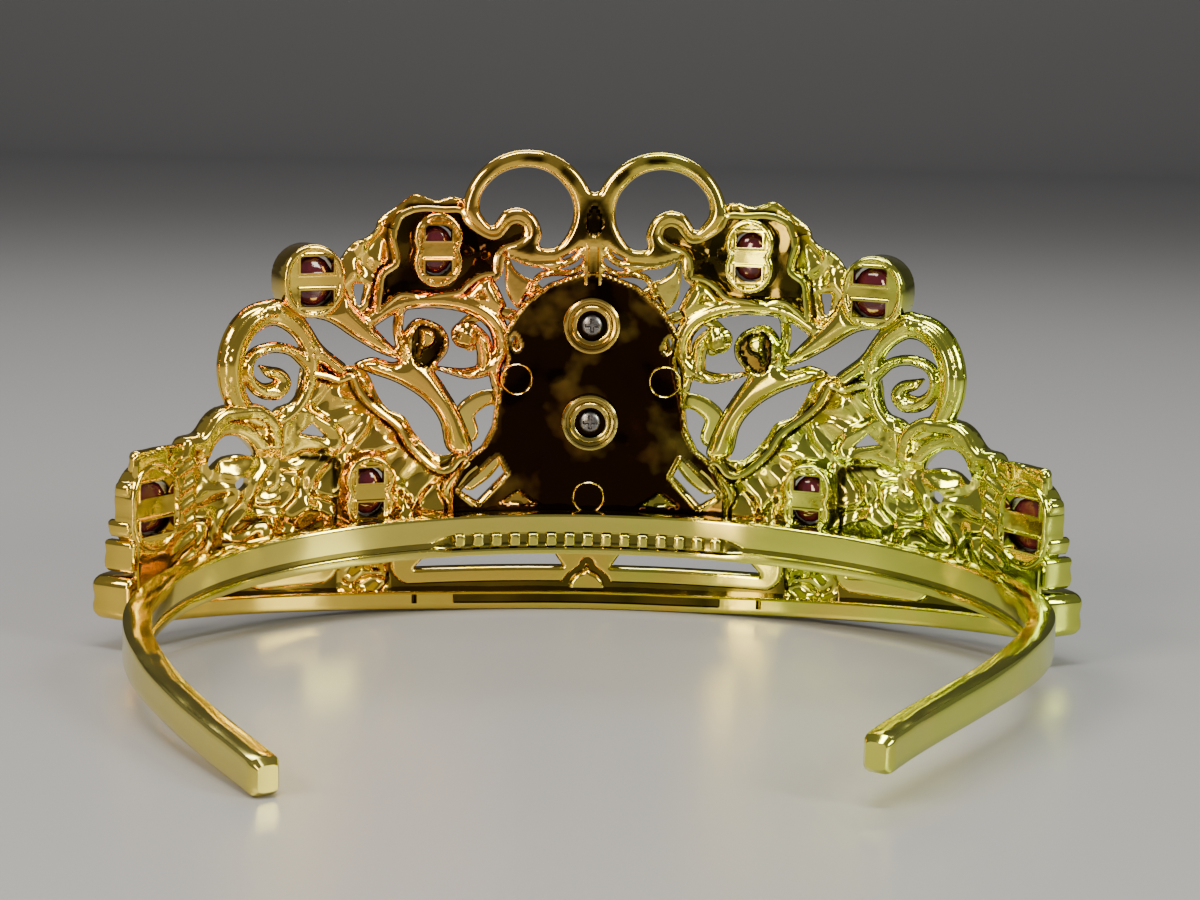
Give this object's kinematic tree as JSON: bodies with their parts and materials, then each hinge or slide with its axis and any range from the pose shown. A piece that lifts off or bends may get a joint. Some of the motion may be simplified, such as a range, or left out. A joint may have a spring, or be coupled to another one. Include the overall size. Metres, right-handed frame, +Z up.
{
  "type": "costume tiara",
  "caption": "Gold-plated costume tiara: a pierced scrollwork panel with cut red stones and an oval front medallion, on an open head band.",
  "frame": {"origin": "middle of the tiara's bounding box, on the surface it stands on", "axes": "-Y towards the decorated front, +Y towards the two band tips, +X to the wearer's left, +Z up"},
  "size_m": [0.1512, 0.1154, 0.0749],
  "materials": {
    "gold_plating": "mirror-bright gold plating on moulded plastic",
    "band_plating": "bright gold plating, slightly softer on the arms",
    "medallion_plating": "bright yellow gold plating",
    "red_stone": "clear cut acrylic stone, dark ruby red",
    "screw_steel": "plain zinc-grey cross-recess screw"
  },
  "bodies": {
    "root": {"crown_panel": "gold_plating", "head_band": "band_plating", "medallion_frame": "medallion_plating", "medallion_stone": "red_stone", "screw_upper": "screw_steel", "screw_lower": "screw_steel", "stone_top_left": "red_stone", "stone_outer_left": "red_stone", "stone_lower_left": "red_stone", "stone_far_left": "red_stone", "stone_top_right": "red_stone", "stone_outer_right": "red_stone", "stone_lower_right": "red_stone", "stone_far_right": "red_stone"}
  },
  "joints": []
}
